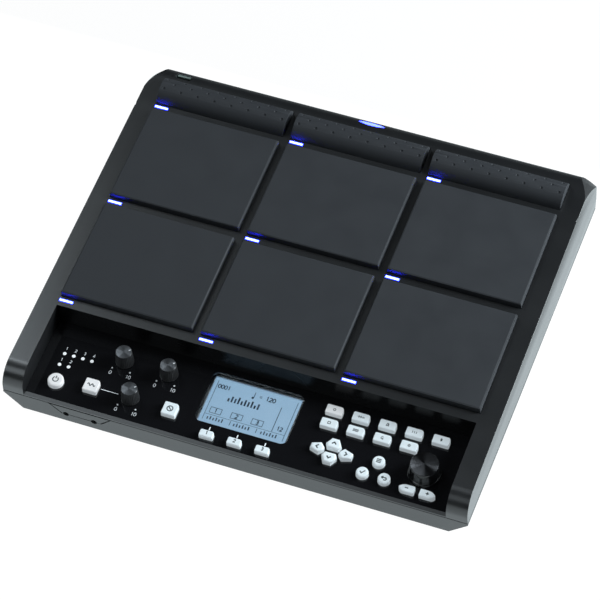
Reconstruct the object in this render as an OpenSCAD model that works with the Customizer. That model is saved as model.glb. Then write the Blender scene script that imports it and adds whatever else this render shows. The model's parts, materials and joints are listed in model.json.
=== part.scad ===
// Sampling drum pad: nine sprung pads on a sloping deck behind a sunken control panel.
// Millimetres, +X right, +Y rear, +Z up; origin on the table under the middle of the case.

/* [Pads] */
// Width of a pad
pad_w = 106.2; // [100:0.1:112]
// Depth of a flat pad
pad_d = 89.5; // [80:0.5:98]
// Height of a flat pad over the deck
pad_rise = 5; // [3.5:0.5:7]
// Space between the pad columns
pad_gap = 7; // [6:0.5:10]
// Space between the pad rows
row_gap = 9; // [8:0.5:12]
// Radius of the rear ridge pads
ridge_r = 13; // [11.5:0.5:15]
// Height of the ridge pads over the deck
ridge_rise = 9.8; // [8:0.1:11]
// Travel of a struck pad
pad_travel = 0.6; // [0.3:0.1:0.7]
// Width of a light bar in front of a pad
light_w = 11; // [8:0.5:16]

/* [Case] */
// Width of each rail beside the pads
rail_w = 15.7; // [14:0.1:20]
// Slope of the deck up to the rear, degrees
deck_tilt = 5; // [4:0.5:6]
// Height of the deck at its front light row
deck_h = 50.5; // [49:0.5:58]
// Radius of the rounded front ends of the rails
nose_r = 16; // [12:0.5:18]
// Radius of the rear top edge
rear_r = 19.5; // [16:0.5:22]
// Radius of the leaning cut at each rear corner
corner_r = 46; // [45:1:60]
// Thickness of the moulded walls
wall = 2.5; // [2.2:0.1:2.8]
// Spread of each side wall for a millimetre of depth
side_flare = 0.048; // [0.02:0.002:0.06]
// Width of the slanted lower sides at the front
side_slant = 15; // [11:1:17]
// Height of the rubber feet
foot_h = 3.5; // [3:0.5:5]
// Radius of the rubber feet
foot_r = 9; // [7:0.5:11]

/* [Control pocket] */
// Depth of the control panel below the deck
pocket_drop = 20.5; // [19.5:0.5:22]
// Front to rear size of the pocket
pocket_d = 68.4; // [67:0.1:74]
// Height of the front lip over the panel
lip_rise = 0.8; // [0.5:0.1:2]
// Thickness of the control panel
panel_t = 2.5; // [2:0.1:2.8]
// Width of the display opening
screen_w = 72.6; // [66:0.2:76]
// Depth of the display opening
screen_d = 45.2; // [41:0.2:46.4]

/* [Keys] */
// Height of the keys over the panel
key_rise = 4; // [2.5:0.5:5]
// Clearance round a key in its opening
key_fit = 0.3; // [0.25:0.05:0.4]
// Travel of a pressed key
key_travel = 0.6; // [0.3:0.1:0.7]

/* [Knobs] */
// Diameter of a level knob at its base
knob_dia = 14; // [12:0.5:15]
// Height of a level knob
knob_h = 13.5; // [10:0.5:16]
// Diameter of the dial at its skirt
dial_dia = 25.4; // [22:0.2:26.6]
// Height of the dial
dial_h = 13.8; // [11:0.2:16]
// Running clearance of a shaft in its bush, on the radius
shaft_fit = 0.05; // [0.03:0.01:0.08]

/* [Sockets and fixings] */
// Radius of the bore of a large plug socket
jack_r = 3.25; // [3.2:0.05:3.4]
// Radius of the bore of a small plug socket
mini_r = 1.8; // [1.75:0.05:1.9]
// Side to side spacing of the stand inserts
stand_w = 100; // [75:1:120]
// Front to rear spacing of the stand inserts
stand_d = 72; // [60:1:90]
// Radius of the thread in a stand insert
stand_r = 2.1; // [1.6:0.1:2.6]

/* [Hidden] */
$fn = 48;
eps = 0.01;
gap = 0.3;
snug = 0.15;
tall = 200;
edge_steps = 18;

case_grey = [0.30, 0.31, 0.33];
base_grey = [0.42, 0.44, 0.46];
panel_black = [0.03, 0.03, 0.035];
pad_grey = [0.20, 0.21, 0.23];
key_white = [0.80, 0.85, 0.87];
knob_grey = [0.22, 0.22, 0.23];
light_blue = [0.45, 0.60, 1.0];
screen_blue = [0.55, 0.69, 0.80];
glass_tint = [0.75, 0.82, 0.88, 0.25];
board_green = [0.08, 0.28, 0.16];
part_black = [0.06, 0.06, 0.06];
steel = [0.66, 0.67, 0.69];
brass = [0.78, 0.62, 0.30];
foam_grey = [0.35, 0.35, 0.36];
rubber_black = [0.07, 0.07, 0.08];

// Deck layout: x 0 on the middle, y 0 on the front light row, z 0 on the deck surface
field_w = 3*pad_w + 2*pad_gap;
body_w = field_w + 2*rail_w;
pitch_x = pad_w + pad_gap;
row_pitch = pad_d + row_gap;
light_to_pad = 4;
light_to_ridge = 3;
ridge_half = sqrt(pow(ridge_r, 2) - pow(ridge_r - ridge_rise, 2));
ridge_y = 2*row_pitch + light_to_ridge + ridge_half;
rear_land = 0.6;
deck_end = ridge_y + ridge_half + rear_land;
pocket_back = -5.1;
pocket_front = pocket_back - pocket_d;
pocket_mid = (pocket_back + pocket_front)/2;
pocket_w = field_w;
front_y = pocket_front - wall;
rear_y = deck_end + rear_r;
seam_below = 1.8;
seam_front = pocket_drop + seam_below;
seam_rear = 44;
seam_gap = 0.8;
seam_angle = atan((seam_rear - seam_front)/(rear_y - front_y));
slant_drop = 2.4;
corner_in = 15;
corner_lean = 37.4;
corner_span = 52;

function tilt(y, z) = [
    y*cos(deck_tilt) - z*sin(deck_tilt),
    y*sin(deck_tilt) + z*cos(deck_tilt)
];
deck_oy = -(tilt(front_y + nose_r, -nose_r)[0] - nose_r + tilt(deck_end, -rear_r)[0] + rear_r)/2;

// A deck point as a table point in the side view
function dk(y, z) = tilt(y, z) + [deck_oy, deck_h];

nose_c = dk(front_y + nose_r, -nose_r);
rear_c = dk(deck_end, -rear_r);
front_g = nose_c[0] - nose_r;
rear_g = rear_c[0] + rear_r;

function front_foot(i) = dk(
    front_y + i,
    (foot_h + i - deck_h - (front_y + i)*sin(deck_tilt))/cos(deck_tilt)
);
function seam_z(y) = -seam_front + (seam_front - seam_rear)*(y - front_y)/(rear_y - front_y);

// Pads and their seat under the deck
pad_fit = 0.5;
pad_lip = 1.8;
pad_lip_t = 2;
pad_bevel = 0.8;
pad_foot = -(wall + gap + pad_lip_t);
foam_top = pad_foot - pad_travel - gap;
foam_t = 3;
foam_inset = 5;
tray_top = foam_top - foam_t;
tray_t = 1.2;
tray_over = 9;
tray_half = field_w/2 + tray_over;
tray_notch = [3, 5];
sensor_r = 13.5;
sensor_t = 0.4;
ridge_sensor = 0.7;
dimple_r = 1.2;
dimple_sink = 0.8;
dimple_count = 8;
dimple_margin = 3.6;
dimple_angles = [16, -8, -32];
light_d = 2.2;
light_proud = 0.2;
light_base_t = 3;
light_base_lip = 0.9;
post_r = 2.8;
post_out = 5.2;
post_x = field_w/2 + post_out;
post_ys = [0.5*row_pitch, 1.35*row_pitch, ridge_y];
boss_r = 4;
boss_rim = 1;
boss_in = 9.6;
boss_x = body_w/2 - boss_in;
boss_ys = [-48, row_pitch, 1.85*row_pitch];
boss_well_r = 3.2;
boss_screw_r = 1.5;
boss_head_t = 2;
boss_land = 4;
boss_hole = 8;
boss_bite = 7;

// Control panel
panel_z = -pocket_drop;
panel_under = panel_z - panel_t;
ledge = 4;
ledge_rear = 2;
ledge_t = 2.5;
key_lug = 1;
key_lug_t = 1.5;
key_foot = panel_under - gap - key_lug_t;
switch_top = key_foot - key_travel - gap;
switch_body = [5.6, 5.2];
plunger_r = 1.6;
plunger_h = 0.6;
board_drop = 7;
board_top = panel_under - board_drop;
board_t = 1.6;
board_margin = 3;
board_shift = 1;
notch_margin = 2;
board_post_r = 2.6;
board_screw_r = 1.3;
board_hole = 6;
small_head_t = 1.8;
tray_bite = 4;
board_bite = 5;
board_clear = 1.3;
board_half = pocket_w/2 - ledge - board_clear;
board_posts = [
    [-1, 8, 27], [-1, 8, -27], [1, -8, 27], [1, -8, -27],
    [0, -47.5, 27.5], [0, 46.5, 27.5], [0, -47.5, -29], [0, 46.5, -29]
];

// Places on the panel: side it is measured from, x from there, y from the pocket's middle
function spot(s) = [s[0]*pocket_w/2 + s[1], pocket_mid + s[2]];

screen_at = [0, -1.2, 5.9];
screen_r = 5;
window_t = 1.3;
window_lip = 2.4;
window_lip_y = 1.2;
frame_lip = 2;
lcd_sink = 5;
lcd_margin = 2;
lcd_floor = 1;
lcd_top = panel_z - lcd_sink;

KNOBS = [
    ["level_knob_1", [-1, 61.6, 14.5]],
    ["level_knob_2", [-1, 77.75, -14.9]],
    ["level_knob_3", [-1, 97.55, 14.1]]
];
dial_at = [1, -25.9, -7.4];
shaft_r = 3;
bush_r = 4.4;
bush_fit = 0.3;
bush_floor = 1;
knob_base_w = 11;
dial_base_w = 13;
turn_gap = 0.4;
knob_flutes = 18;
knob_flute = 0.8;
knob_land = 0.25;
knob_taper = 0.5;
shaft_floor = 1.5;

// The dial's skirt and shoulder: share of its radius, then height or drop
dial_skirt = [[0.97, 2.6], [0.93, 3.2], [0.91, 3.6], [0.93, 4]];
dial_shoulder = [0.86, 0.8];
dial_top = 0.823;

// Corner radii of the key styles: right rear, left rear, left front, right front
tab_rs = [2.2, 1.1, 1.1, 0.8];
leaf_rs = [2.9, 0.8, 0.8, 2.9];
lug_share = 0.5;
arrow_lug_in = 3;
arrow_lug_d = 2.4;
arrow_lug_share = 0.72;

// Keys: node, style, place, size across, size along, turn, then the shape values of the style
upper_row = [for (i = [0:4]) [str("upper_key_", i + 1), "tab", [1, -106.2 + 20.8*i, 22.1], 13, 7.7, 0]];
lower_row = [for (i = [0:3]) [str("lower_key_", i + 1), "tab", [1, -106.2 + 20.8*i, 9.9], 13, 7.6, 0]];
soft_row = [for (i = [0:2]) [str("soft_key_", i + 1), "tab", [0, -22.7 + 21.95*i, -27.8], 10.9, 6, 0]];
KEYS = concat([
    ["power_key", "round", [-1, 19.1, -18.9], 12.2, 12.2, 0],
    ["effect_key", "tab", [-1, 46.5, -15.1], 11.2, 11.1, 0],
    ["all_off_key", "tab", [0, -56.2, -16], 11.2, 11.1, 0],
    ["arrow_up_key", "arrow", [1, -96.6, -5.8], 12.1, 8.9, 0, 5.6, 8.4, -1],
    ["arrow_down_key", "arrow", [1, -96.6, -18.4], 12.1, 8.9, 180, 5.6, 8.4, -1],
    ["arrow_left_key", "arrow", [1, -107.6, -12.1], 9.4, 10.3, 90, 4.6, 2.4, -1.9],
    ["arrow_right_key", "arrow", [1, -85.6, -12.1], 9.4, 10.3, -90, 4.6, 2.4, -1.9],
    ["menu_key", "round", [1, -60.6, -9.7], 9.4, 9.4, 0],
    ["enter_key", "round", [1, -69.05, -22.4], 9.4, 9.4, 0],
    ["return_key", "round", [1, -52.2, -22.4], 9.4, 9.4, 0],
    ["minus_key", "leaf", [1, -33.9, -25.2], 12, 6.2, 180],
    ["plus_key", "leaf", [1, -17.9, -25.2], 12, 6.2, 0]
], upper_row, lower_row, soft_row);

// Small lights in the panel
lamp_r = 1.4;
lamp_pitch = 7.4;
LAMPS = concat(
    [for (i = [0:3]) [-1, 15.5 + lamp_pitch*i, 6.9]],
    [for (i = [0:1]) [-1, 15.5 + lamp_pitch*i, -3.4]]
);

// Front sockets, split along the lower edge of their plate
mini_share = 0.556;
mini_z = panel_z - mini_share*(dk(front_y, panel_z)[1] - foot_h);
mini_xs = [33.4, 56];
mini_body = [11, 12, 6.4];
mini_wall = 0.45;
mini_sink = 0.6;
plate_gap = 0.4;
plate_top = [19.3, 70.7];
plate_foot = [30, 61.6];

// Rear sockets and the main board
jack_up = 15.5;
jack_z = foot_h + jack_up;
jack_xs = [-130, -106, -66, -42, -18, 6];
jack_body = [15, 28, 14];
jack_nose_r = 5.7;
jack_floor = 2;
nose_root = 1;
usb_x = 52;
usb_body = [12, 16, 11];
usb_mouth = [8.6, 7.9];
usb_depth = 9;
power_x = 92;
power_body = [10, 13, 11];
power_r = 3;
power_wall = 0.4;
power_pin_r = 1;
power_pin_in = 0.5;
power_depth = 9;
main_top = jack_z - jack_body[2]/2;
main_t = 1.6;
main_w = 300;
main_d = 74;
main_post_r = 3.5;
main_posts = [for (s = [-1, 1]) for (t = [0.15, 0.85]) [s*main_w*0.46, t]];
chip_h = 2;
chips = [[40, 30, 20], [86, 24, 14], [-40, 30, 26]];

// Memory stick socket, mouth up in the rear edge, and the rear light
slot_side = 26;
slot_back = 7.2;
slot_x = body_w/2 - slot_side;
slot_y = deck_end + slot_back;
slot_wall = 1.5;
stick_shell = [13.1, 6.9, 10];
stick_top = -3.5;
stick_foot = stick_top - stick_shell[2];
shell_t = 0.5;
tongue = [11, 1.8];
tongue_y = 1.9;
tongue_sink = 0.4;
rear_light_x = 1.5;
rear_light_w = 22;
rear_light_angle = 28.5;
rear_light_d = 4.6;
rear_light_in = 4;
rear_light_blunt = 0.96;

// Fixings under the case
foot_in = [44, 40];
foot_x = body_w/2 - foot_in[0];
foot_y = rear_g - foot_in[1];
foot_sink = 1;
insert_wall = 1.7;
insert_l = 9;
insert_floor = 1;
seat_wall = 2;

PADS = [for (r = [0:1]) for (c = [-1:1]) [str("pad_", 3*r + c + 2), c, r]];
RIDGES = [for (c = [-1:1]) [str("ridge_pad_", c + 2), c, 2]];

STATIC = [
    "top_cover", "bottom_case", "control_panel", "display_window", "display_frame", "lcd_panel",
    "indicator_lamps", "key_board", "key_switches", "control_bases", "pad_lights", "rear_light",
    "pad_foams", "pad_tray", "pad_sensors", "front_jack_plate", "front_sockets", "main_board",
    "rear_sockets", "usb_sockets", "stand_inserts", "rubber_feet", "screws"
];

// Shared helpers

module on_deck() {
    translate([0, deck_oy, deck_h])
        rotate([deck_tilt, 0, 0])
            children();
}

// A side view shape (y, z) drawn out along x, centred
module along_x(w) {
    translate([-w/2, 0, 0])
        rotate([90, 0, 90])
            linear_extrude(w)
                children();
}

// A box given by its middle in x and y, its two sizes and its top and foot
module block(at, size, foot, top) {
    translate([at[0] - size[0]/2, at[1] - size[1]/2, foot])
        cube([size[0], size[1], top - foot]);
}

// A straight round pin or bore in the deck frame
module post(at, r, foot, top) {
    translate([at[0], at[1], foot])
        cylinder(r = r, h = top - foot);
}

function arc(c, r, a0, a1, n) = [for (i = [0:n]) c + r*[cos(a0 + (a1 - a0)*i/n), sin(a0 + (a1 - a0)*i/n)]];

// Corners in turn: right rear, left rear, left front, right front
function soft_box(w, d, rs) = concat(
    arc([w/2 - rs[0], d/2 - rs[0]], rs[0], 0, 90, 6),
    arc([rs[1] - w/2, d/2 - rs[1]], rs[1], 90, 180, 6),
    arc([rs[2] - w/2, rs[2] - d/2], rs[2], 180, 270, 6),
    arc([w/2 - rs[3], rs[3] - d/2], rs[3], 270, 360, 6)
);

// The case outline, with i as the inset for a wall's inner face
module case_side(i) {
    polygon(concat(
        arc(rear_c, rear_r - i, 0, 90 + deck_tilt, edge_steps),
        arc(nose_c, nose_r - i, 90 + deck_tilt, 180 + deck_tilt, edge_steps),
        [front_foot(i), [rear_g - i, foot_h + i]]
    ));
}

// Front view over the parting line: sides that spread downwards
module case_end(i) {
    top = body_w/2 - i - side_flare*tall;
    foot = body_w/2 - i + side_flare*tall;
    polygon([[-foot, -tall], [foot, -tall], [top, tall], [-top, tall]]);
}

// Front view below the parting line: sides slanted in to the foot
module case_keel(i) {
    half = body_w/2 + side_flare*(seam_front + seam_rear)/2;
    slope = side_slant/(dk(front_y, -seam_front - slant_drop)[1] - foot_h);
    slip = i*sqrt(1 + pow(slope, 2));
    start = (slip - i)/slope - slant_drop;
    polygon([
        [0, (slip - half)/slope - slant_drop],
        [half - i, start],
        [half - i, tall],
        [i - half, tall],
        [i - half, start]
    ]);
}

// The leaning round cut that softens a rear corner's top; side is 1 at the right
module corner_cut(i, side) {
    r = corner_r - i;
    translate([side*body_w/2, rear_y, 0])
        rotate([0, 0, 90 - 45*side])
            translate([-corner_in, 0, 0])
                rotate([0, -corner_lean, 0])
                    translate([-corner_r, 0, -tall/2])
                        linear_extrude(tall)
                            polygon(concat(
                                arc([0, 0], r, -corner_span, corner_span, edge_steps),
                                [[tall, tall], [tall, -tall]]
                            ));
}

module case_block(i) {
    difference() {
        intersection() {
            along_x(2*body_w)
                case_side(i);
            on_deck()
                translate([0, tall + rear_y, 0])
                    rotate([90, 0, 0])
                        linear_extrude(4*tall)
                            case_end(i);
            on_deck()
                translate([0, front_y, -seam_front])
                    rotate([-seam_angle, 0, 0])
                        translate([0, 3*tall, 0])
                            rotate([90, 0, 0])
                                linear_extrude(4*tall)
                                    case_keel(i);
        }
        for (side = [-1, 1])
            on_deck()
                corner_cut(i, side);
    }
}

// All that lies over the parting line, lowered by drop
module over_seam(drop) {
    y0 = front_y - tall;
    y1 = deck_end + tall;
    on_deck()
        along_x(2*body_w)
            polygon([
                [y0, seam_z(y0) - drop],
                [y1, seam_z(y1) - drop],
                [y1, tall],
                [y0, tall]
            ]);
}

// A plan shape of a key grown by g, in its own frame
module key_shape(k, g) {
    w = k[3];
    d = k[4];
    if (k[1] == "round")
        circle(w/2 + g);
    if (k[1] == "tab")
        polygon(soft_box(w + 2*g, d + 2*g, [for (r = tab_rs) r + g]));
    if (k[1] == "leaf")
        polygon(soft_box(w + 2*g, d + 2*g, [for (r = leaf_rs) r + g]));
    if (k[1] == "arrow")
        polygon([
            [-k[6]/2 - g, d/2 + g],
            [k[6]/2 + g, d/2 + g],
            [w/2 + g, k[8]],
            [k[7]/2 + g, -d/2 - g],
            [-k[7]/2 - g, -d/2 - g],
            [-w/2 - g, k[8]]
        ]);
}

module at_key(k) {
    p = spot(k[2]);
    on_deck()
        translate([p[0], p[1], 0])
            rotate([0, 0, k[5]])
                children();
}

// The retaining lugs reach past the opening on both sides of a key
module key_lugs(k) {
    reach = 2*(key_fit + key_lug);
    lug_y = k[1] == "arrow" ? k[4]/2 - arrow_lug_in : 0;
    lug_d = k[1] == "arrow" ? arrow_lug_d : lug_share*k[4];
    lug_w = k[1] == "arrow" ? k[6] + arrow_lug_share*(k[3] - k[6]) + reach : k[3] + reach;
    block([0, lug_y], [lug_w, lug_d], key_foot, panel_under - gap);
}

function pad_at(p) = [p[1]*pitch_x, p[2]*row_pitch + light_to_pad + pad_d/2];
function ridge_at(p) = [p[1]*pitch_x, ridge_y];
function light_at(p) = [p[1]*pitch_x - pad_w/2 + light_w/2, p[2]*row_pitch];

module mini_places() {
    for (x = mini_xs)
        on_deck()
            translate([x - pocket_w/2, front_y, mini_z])
                rotate([-90, 0, 0])
                    children();
}

module insert_places() {
    for (x = [-1, 1])
        for (y = [-1, 1])
            translate([x*stand_w/2, y*stand_d/2, foot_h])
                children();
}

module foot_places() {
    for (x = [-1, 1])
        for (y = [-1, 1])
            translate([x*foot_x, y*foot_y, 0])
                children();
}

// Where the case screws stand, upright on the table
function boss_g(y) = dk(y, seam_z(y));
module boss_places() {
    for (x = [-1, 1])
        for (y = boss_ys)
            translate([x*boss_x, boss_g(y)[0], boss_g(y)[1]])
                children();
}

// Trapezium of the front jack plate in x and deck z, grown by g
module plate_shape(g) {
    left = -pocket_w/2;
    polygon([
        [left + plate_top[0] - g, -seam_front],
        [left + plate_top[1] + g, -seam_front],
        [left + plate_foot[1] + g, mini_z - g],
        [left + plate_foot[0] - g, mini_z - g]
    ]);
}

// Shell pieces

module top_cover() {
    color(case_grey)
        difference() {
            union() {
                difference() {
                    intersection() {
                        case_block(0);
                        over_seam(0);
                    }
                    case_block(wall);
                }
                intersection() {
                    on_deck()
                        block(
                            [0, (front_y + pocket_back + wall)/2],
                            [pocket_w + 2*wall, pocket_back + wall - front_y],
                            panel_under - ledge_t, eps
                        );
                    union() {
                        intersection() {
                            case_block(0);
                            over_seam(0);
                        }
                        case_block(wall + gap);
                    }
                }
                intersection() {
                    case_block(wall/2);
                    over_seam(0);
                    boss_places()
                        cylinder(r = boss_r, h = tall);
                }
                for (s = [-1, 1])
                    for (y = post_ys)
                        on_deck()
                            post([s*post_x, y], post_r, tray_top, -wall/2);
                intersection() {
                    case_block(wall/2);
                    stick_pocket(slot_wall);
                }
            }
            on_deck()
                cover_cuts();
            boss_places()
                translate([0, 0, -tall/2])
                    cylinder(r = boss_screw_r - snug, h = tall/2 + boss_hole);
            stick_pocket(0);
            rear_light_box(snug);
        }
}

// The pocket's tray inside the case, grown by g
module pocket_room(g) {
    y0 = front_y + 2*wall;
    y1 = pocket_back + wall + g;
    block([0, (y0 + y1)/2], [pocket_w + 2*(wall + g), y1 - y0], panel_under - ledge_t - g, tall);
}

// Openings of the deck and the pocket, in the deck frame
module cover_cuts() {
    mid = (pocket_front + pocket_back)/2;
    block([0, mid - wall], [pocket_w, pocket_d + 2*wall], panel_z + lip_rise, tall);
    block([0, mid], [pocket_w, pocket_d], panel_under, tall);
    block(
        [0, mid - ledge_rear/2],
        [pocket_w - 2*ledge, pocket_d - ledge_rear],
        panel_under - 2*ledge_t, tall
    );
    for (p = PADS)
        block(pad_at(p), [pad_w + 2*pad_fit, pad_d + 2*pad_fit], -2*wall, tall);
    for (p = RIDGES)
        block(ridge_at(p), [pad_w + 2*pad_fit, 2*(ridge_half + pad_fit)], -2*wall, tall);
    for (p = concat(PADS, RIDGES))
        block(light_at(p), [light_w + 2*snug, light_d + 2*snug], -2*wall, tall);
    for (s = [-1, 1])
        for (y = post_ys)
            post([s*post_x, y], board_screw_r, tray_top - eps, -wall);
}

// The base's floor and walls, open along the parting line
module base_shell() {
    difference() {
        case_block(0);
        case_block(wall);
        over_seam(seam_gap);
    }
}

// What stands on the base's floor: screw bosses, seats and posts
module base_seats() {
    boss_places()
        translate([0, 0, -tall])
            cylinder(r = boss_r + boss_rim, h = tall);
    insert_places()
        cylinder(r = stand_r + insert_wall + seat_wall, h = insert_l + seat_wall);
    foot_places()
        cylinder(r = foot_r + seat_wall, h = foot_h + foot_sink + wall);
    for (p = main_posts)
        translate([p[0], main_y(p[1]), foot_h])
            cylinder(r = main_post_r, h = main_top - main_t - foot_h);
    for (x = mini_xs)
        on_deck()
            block(
                [x - pocket_w/2, front_y + wall + mini_body[1]/2],
                [mini_body[0], mini_body[1]],
                mini_z - tall, mini_z - mini_body[2]/2
            );
}

module bottom_case() {
    color(base_grey)
        difference() {
            union() {
                base_shell();
                difference() {
                    intersection() {
                        case_block(wall/2);
                        base_seats();
                    }
                    over_seam(eps);
                }
            }
            on_deck()
                pocket_room(gap);
            on_deck()
                translate([0, front_y + 2*wall, 0])
                    rotate([90, 0, 0])
                        linear_extrude(4*wall)
                            plate_shape(plate_gap);
            mini_places()
                translate([0, 0, -wall])
                    cylinder(r = mini_r + mini_wall + snug, h = 3*wall);
            boss_places()
                translate([0, 0, -tall]) {
                    cylinder(r = boss_well_r, h = tall - boss_land);
                    cylinder(r = boss_screw_r + snug, h = tall + eps);
                }
            insert_places()
                translate([0, 0, -eps])
                    cylinder(r = stand_r + insert_wall, h = insert_l);
            foot_places()
                cylinder(r = foot_r + snug, h = foot_h + foot_sink);
            for (x = jack_xs)
                translate([x, rear_g - 2*wall, jack_z])
                    rotate([-90, 0, 0])
                        cylinder(r = jack_nose_r + snug, h = 3*wall);
            translate([usb_x - usb_mouth[0]/2 - snug, rear_g - 2*wall, jack_z - usb_mouth[1]/2 - snug])
                cube([usb_mouth[0] + 2*snug, 3*wall, usb_mouth[1] + 2*snug]);
            translate([power_x, rear_g - 2*wall, jack_z])
                rotate([-90, 0, 0])
                    cylinder(r = power_r + snug, h = 3*wall);
        }
}

module control_panel() {
    color(panel_black)
        on_deck()
            difference() {
                union() {
                    block([0, pocket_mid], [pocket_w - 2*snug, pocket_d - 2*snug], panel_under, panel_z);
                    for (b = board_posts)
                        post(spot(b), board_post_r, board_top, panel_z - eps);
                }
                for (b = board_posts)
                    post(spot(b), board_screw_r, board_top - eps, board_top + board_hole);
                for (k = KEYS)
                    translate([spot(k[2])[0], spot(k[2])[1], panel_under - eps])
                        rotate([0, 0, k[5]])
                            linear_extrude(2*panel_t)
                                key_shape(k, key_fit);
                for (k = KNOBS)
                    post(spot(k[1]), bush_r + bush_fit, panel_under - eps, tall);
                post(spot(dial_at), bush_r + bush_fit, panel_under - eps, tall);
                for (l = LAMPS)
                    post(spot(l), lamp_r, panel_under - eps, tall);
                translate([spot(screen_at)[0], spot(screen_at)[1], panel_under - eps])
                    linear_extrude(2*panel_t)
                        polygon(soft_box(screen_w, screen_d, [screen_r, screen_r, screen_r, screen_r]));
            }
}

module front_jack_plate() {
    color(base_grey)
        difference() {
            intersection() {
                case_block(0);
                on_deck()
                    translate([0, front_y + wall, 0])
                        rotate([90, 0, 0])
                            linear_extrude(2*wall)
                                plate_shape(0);
            }
            over_seam(seam_gap);
            mini_places()
                translate([0, 0, -wall])
                    cylinder(r = mini_r + mini_wall + snug, h = 3*wall);
        }
}

// Display

module display_window() {
    color(glass_tint)
        on_deck()
            block(
                spot(screen_at),
                [screen_w + 2*window_lip, screen_d + 2*window_lip_y],
                panel_under - window_t, panel_under
            );
}

module display_frame() {
    color(steel)
        on_deck()
            difference() {
                block(
                    spot(screen_at),
                    [screen_w + 2*(window_lip + frame_lip), screen_d + 2*window_lip_y],
                    board_top, panel_under - window_t
                );
                block(
                    spot(screen_at),
                    [screen_w - 2*lcd_margin + 2*snug, screen_d - 2*lcd_margin + 2*snug],
                    board_top + lcd_floor, tall
                );
            }
}

module lcd_panel() {
    color(screen_blue)
        on_deck()
            block(
                spot(screen_at),
                [screen_w - 2*lcd_margin, screen_d - 2*lcd_margin],
                board_top + lcd_floor, lcd_top
            );
}

// Panel electronics

module indicator_lamps() {
    color(key_white)
        on_deck()
            for (l = LAMPS)
                post(spot(l), lamp_r, panel_under, panel_z + light_proud);
}

module key_board() {
    notch_w = mini_xs[1] - mini_xs[0] + mini_body[0] + 2*notch_margin;
    notch_x = (mini_xs[0] + mini_xs[1])/2 - pocket_w/2;
    notch_d = wall + mini_body[1] + notch_margin;
    color(board_green)
        on_deck()
            difference() {
                block(
                    [0, pocket_mid - board_shift],
                    [2*board_half, pocket_d - 2*board_margin],
                    board_top - board_t, board_top
                );
                block([notch_x, front_y + notch_d/2], [notch_w, notch_d], board_top - 2*board_t, tall);
                for (b = board_posts)
                    post(spot(b), board_screw_r + snug, board_top - 2*board_t, tall);
            }
}

module key_switches() {
    color(part_black)
        for (k = KEYS)
            at_key(k) {
                block([0, 0], switch_body, board_top, switch_top - plunger_h);
                post([0, 0], plunger_r, switch_top - plunger_h - eps, switch_top);
            }
}

// A turning control's fixed half: body on the board, bush up through the panel
module control_base(s, body) {
    on_deck()
        difference() {
            union() {
                block(spot(s), [body, body], board_top, panel_under - gap);
                post(spot(s), bush_r, board_top, panel_z - gap);
            }
            post(spot(s), shaft_r + shaft_fit, board_top + bush_floor, tall);
        }
}

module control_bases() {
    color(part_black) {
        for (k = KNOBS)
            control_base(k[1], knob_base_w);
        control_base(dial_at, dial_base_w);
    }
}

// Pads and their seat

module pad_block(w, d, bevel, foot, top) {
    intersection() {
        along_x(w)
            polygon([
                [-d/2, foot],
                [d/2, foot],
                [d/2, top - bevel],
                [d/2 - bevel, top],
                [bevel - d/2, top],
                [-d/2, top - bevel]
            ]);
        translate([0, d/2, 0])
            rotate([90, 0, 0])
                linear_extrude(d)
                    polygon([
                        [-w/2, foot],
                        [w/2, foot],
                        [w/2, top - bevel],
                        [w/2 - bevel, top],
                        [bevel - w/2, top],
                        [-w/2, top - bevel]
                    ]);
    }
}

module pad_lips(d) {
    block([0, 0], [pad_w + 2*pad_lip, d - 4*pad_lip], pad_foot, pad_foot + pad_lip_t);
}

module flat_pad(p) {
    color(pad_grey)
        on_deck()
            translate([pad_at(p)[0], pad_at(p)[1], 0]) {
                pad_block(pad_w, pad_d, pad_bevel, pad_foot, pad_rise);
                pad_lips(pad_d);
            }
}

module ridge_pad(p) {
    step = (pad_w - 2*dimple_margin)/(dimple_count - 1);
    color(pad_grey)
        on_deck()
            translate([ridge_at(p)[0], ridge_at(p)[1], 0]) {
                difference() {
                    along_x(pad_w) {
                        intersection() {
                            translate([0, ridge_rise - ridge_r])
                                circle(ridge_r);
                            translate([-ridge_r, 0])
                                square([2*ridge_r, 2*ridge_r]);
                        }
                        translate([-ridge_half, pad_foot])
                            square([2*ridge_half, -pad_foot + eps]);
                    }
                    for (j = [0:len(dimple_angles) - 1])
                        for (i = [0:dimple_count - 1 - j%2])
                            translate([dimple_margin - pad_w/2 + step*(i + (j%2)/2), 0, ridge_rise - ridge_r])
                                rotate([dimple_angles[j], 0, 0])
                                    translate([0, 0, ridge_r + dimple_r - dimple_sink])
                                        sphere(r = dimple_r, $fn = 16);
                }
                pad_lips(2*ridge_half);
            }
}

module pad_lights() {
    color(light_blue)
        on_deck()
            for (p = concat(PADS, RIDGES)) {
                block(light_at(p), [light_w, light_d], -wall - eps, light_proud);
                block(
                    light_at(p),
                    [light_w + 2*light_base_lip, light_d + 2*light_base_lip/2],
                    -wall - light_base_t, -wall
                );
            }
}

module pad_foams() {
    color(foam_grey)
        on_deck() {
            for (p = PADS)
                block(pad_at(p), [pad_w - 2*foam_inset, pad_d - 2*foam_inset], tray_top, foam_top);
            for (p = RIDGES)
                block(ridge_at(p), [pad_w - 2*foam_inset, 2*ridge_half - foam_inset], tray_top, foam_top);
        }
}

module pad_tray() {
    y0 = light_to_pad;
    y1 = ridge_y + ridge_half;
    color(steel)
        on_deck()
            difference() {
                block([0, (y0 + y1)/2], [2*tray_half, y1 - y0], tray_top - tray_t, tray_top);
                for (s = [-1, 1]) {
                    for (y = post_ys)
                        post([s*post_x, y], board_screw_r + snug, -tall, tall);
                    for (y = boss_ys)
                        translate([s*boss_x, y, tray_top])
                            cube([
                                2*(tray_half - boss_x + boss_r) + tray_notch[0],
                                2*boss_r + tray_notch[1],
                                4*tray_t
                            ], center = true);
                }
            }
}

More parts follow.
